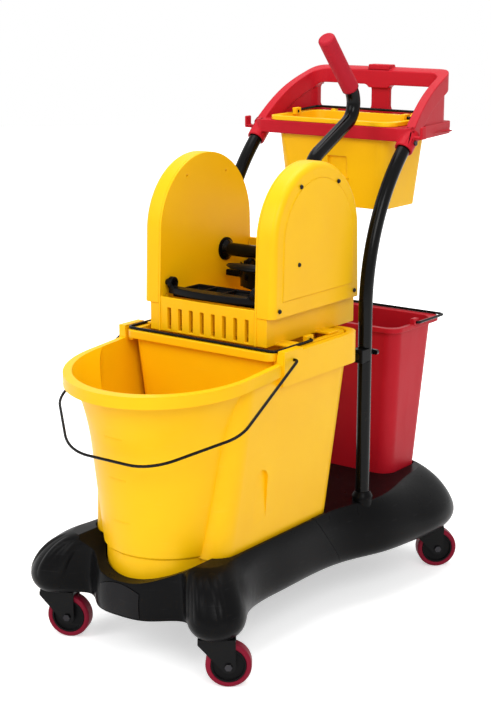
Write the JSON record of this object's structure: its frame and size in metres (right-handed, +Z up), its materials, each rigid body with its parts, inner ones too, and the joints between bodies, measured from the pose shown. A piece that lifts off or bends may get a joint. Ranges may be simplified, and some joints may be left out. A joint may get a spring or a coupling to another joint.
{
  "type": "janitorial cart",
  "caption": "Wheeled janitorial cart with a lever wringer over a round-fronted mop bucket, a rear pail, and a push handle tray that holds a lift-out caddy.",
  "frame": {"origin": "on the floor under the middle of the overall box", "axes": "+Z up, -Y towards the bucket's round front, +Y towards the push handle, +X towards the side with the wringer's gear train"},
  "size_m": [0.4578, 0.845, 1.026],
  "materials": {
    "yellow_plastic": "satin moulded",
    "red_plastic": "satin moulded",
    "red_grip": "matte",
    "black_plastic": "satin moulded",
    "panel_plastic": "smooth",
    "black_tube": "gloss powder coat",
    "black_wire": "satin",
    "fork_metal": "satin",
    "hub_plastic": "satin",
    "red_tyre": "satin",
    "dark_steel": "blackened",
    "steel": "zinc plated"
  },
  "bodies": {
    "chassis": {"base_front": "black_plastic", "base_rear": "black_plastic", "nose_panel": "panel_plastic", "base_seam_bolts": "steel", "caster_stems": "steel", "lower_post_left": "black_tube", "lower_post_right": "black_tube", "upper_post_left": "black_tube", "upper_post_right": "black_tube", "bucket_catch_left": "black_plastic", "bucket_catch_right": "black_plastic", "post_clamp_bolts": "steel", "wing_nuts": "steel", "handle_tray": "red_plastic", "tray_screws": "steel"},
    "bucket": {"mop_bucket": "yellow_plastic"},
    "bucket_handle": {"bucket_bail": "black_wire"},
    "pan": {"insert_pan": "yellow_plastic"},
    "pan_handle": {"pan_bail": "black_wire"},
    "wringer": {"wringer_body": "yellow_plastic", "cheek_cover_left": "yellow_plastic", "cheek_cover_right": "yellow_plastic", "cheek_screws": "dark_steel", "shaft_bush_left": "black_plastic", "shaft_bush_right": "black_plastic"},
    "lever": {"lever_shaft": "black_tube", "lever_hub": "black_tube", "lever_tube": "black_tube", "lever_pin": "steel", "lever_grip": "red_grip", "drive_sector": "steel"},
    "front_jaw": {"front_press_plate": "black_plastic", "front_jaw_pins": "steel", "front_jaw_sector": "steel"},
    "rear_jaw": {"rear_press_plate": "black_plastic", "rear_jaw_pins": "steel", "rear_jaw_sector": "steel"},
    "pail": {"rear_pail": "red_plastic"},
    "pail_handle": {"pail_bail": "black_wire"},
    "caddy_tub": {"caddy": "yellow_plastic"},
    "caddy_handle": {"caddy_bail": "black_wire"},
    "fork_front_right": {"caster_fork_front_right": "fork_metal", "wheel_axle_front_right": "steel"},
    "wheel_front_right": {"wheel_hub_front_right": "hub_plastic", "wheel_tyre_front_right": "red_tyre"},
    "fork_front_left": {"caster_fork_front_left": "fork_metal", "wheel_axle_front_left": "steel"},
    "wheel_front_left": {"wheel_hub_front_left": "hub_plastic", "wheel_tyre_front_left": "red_tyre"},
    "fork_rear_right": {"caster_fork_rear_right": "fork_metal", "wheel_axle_rear_right": "steel"},
    "wheel_rear_right": {"wheel_hub_rear_right": "hub_plastic", "wheel_tyre_rear_right": "red_tyre"},
    "fork_rear_left": {"caster_fork_rear_left": "fork_metal", "wheel_axle_rear_left": "steel"},
    "wheel_rear_left": {"wheel_hub_rear_left": "hub_plastic", "wheel_tyre_rear_left": "red_tyre"}
  },
  "joints": [
    {"name": "swivel_front_right", "type": "hinge", "parent": "chassis", "child": "fork_front_right", "pos_m": [0.1735, -0.345, 0.081], "axis": [0, 0, 1], "continuous": true},
    {"name": "roll_front_right", "type": "hinge", "parent": "fork_front_right", "child": "wheel_front_right", "pos_m": [0.19137, -0.33216, 0.038], "axis": [0.5835, -0.8121, 0], "continuous": true},
    {"name": "swivel_front_left", "type": "hinge", "parent": "chassis", "child": "fork_front_left", "pos_m": [-0.1735, -0.345, 0.081], "axis": [0, 0, 1], "continuous": true},
    {"name": "roll_front_left", "type": "hinge", "parent": "fork_front_left", "child": "wheel_front_left", "pos_m": [-0.15325, -0.3364, 0.038], "axis": [0.3907, -0.9205, 0], "continuous": true},
    {"name": "swivel_rear_right", "type": "hinge", "parent": "chassis", "child": "fork_rear_right", "pos_m": [0.1735, 0.323, 0.081], "axis": [0, 0, 1], "continuous": true},
    {"name": "roll_rear_right", "type": "hinge", "parent": "fork_rear_right", "child": "wheel_rear_right", "pos_m": [0.18959, 0.338, 0.038], "axis": [0.682, -0.7314, 0], "continuous": true},
    {"name": "swivel_rear_left", "type": "hinge", "parent": "chassis", "child": "fork_rear_left", "pos_m": [-0.1735, 0.323, 0.081], "axis": [0, 0, 1], "continuous": true},
    {"name": "roll_rear_left", "type": "hinge", "parent": "fork_rear_left", "child": "wheel_rear_left", "pos_m": [-0.15445, 0.334, 0.038], "axis": [0.5, -0.866, 0], "continuous": true},
    {"name": "bucket_lift", "type": "slide", "parent": "chassis", "child": "bucket", "axis": [0, 0, 1], "range_m": [0, 0.09]},
    {"name": "bucket_bail_swing", "type": "hinge", "parent": "bucket", "child": "bucket_handle", "pos_m": [0, -0.137, 0.505], "axis": [-1, 0, 0], "range_deg": [0, 110]},
    {"name": "pan_lift", "type": "slide", "parent": "bucket", "child": "pan", "axis": [0, 0, 1], "range_m": [0, 0.2]},
    {"name": "pan_bail_swing", "type": "hinge", "parent": "pan", "child": "pan_handle", "pos_m": [0, -0.051, 0.5198], "axis": [-1, 0, 0], "range_deg": [0, 25]},
    {"name": "wringer_lift", "type": "slide", "parent": "pan", "child": "wringer", "axis": [0, 0, 1], "range_m": [0, 0.12]},
    {"name": "lever_swing", "type": "hinge", "parent": "wringer", "child": "lever", "pos_m": [0, 0.046, 0.637], "axis": [1, 0, 0], "range_deg": [0, 70]},
    {"name": "front_plate_turn", "type": "hinge", "parent": "wringer", "child": "front_jaw", "pos_m": [0, -0.122, 0.601], "axis": [1, 0, 0], "range_deg": [-35, 0]},
    {"name": "rear_plate_turn", "type": "hinge", "parent": "wringer", "child": "rear_jaw", "pos_m": [0, 0.10708, 0.601], "axis": [1, 0, 0], "range_deg": [0, 35]},
    {"name": "pail_lift", "type": "slide", "parent": "chassis", "child": "pail", "axis": [0, 0, 1], "range_m": [0, 0.1]},
    {"name": "pail_bail_swing", "type": "hinge", "parent": "pail", "child": "pail_handle", "pos_m": [0, 0.311, 0.4848], "axis": [1, 0, 0], "range_deg": [0, 170]},
    {"name": "caddy_lift", "type": "slide", "parent": "chassis", "child": "caddy_tub", "axis": [0, 0, 1], "range_m": [0, 0.16]},
    {"name": "caddy_bail_swing", "type": "hinge", "parent": "caddy_tub", "child": "caddy_handle", "pos_m": [0, 0.299, 0.8671], "axis": [1, 0, 0], "range_deg": [0, 140]}
  ],
  "couplings": [
    {"joint": "front_plate_turn", "follows": "lever_swing", "ratio": -0.5},
    {"joint": "rear_plate_turn", "follows": "lever_swing", "ratio": 0.5}
  ]
}
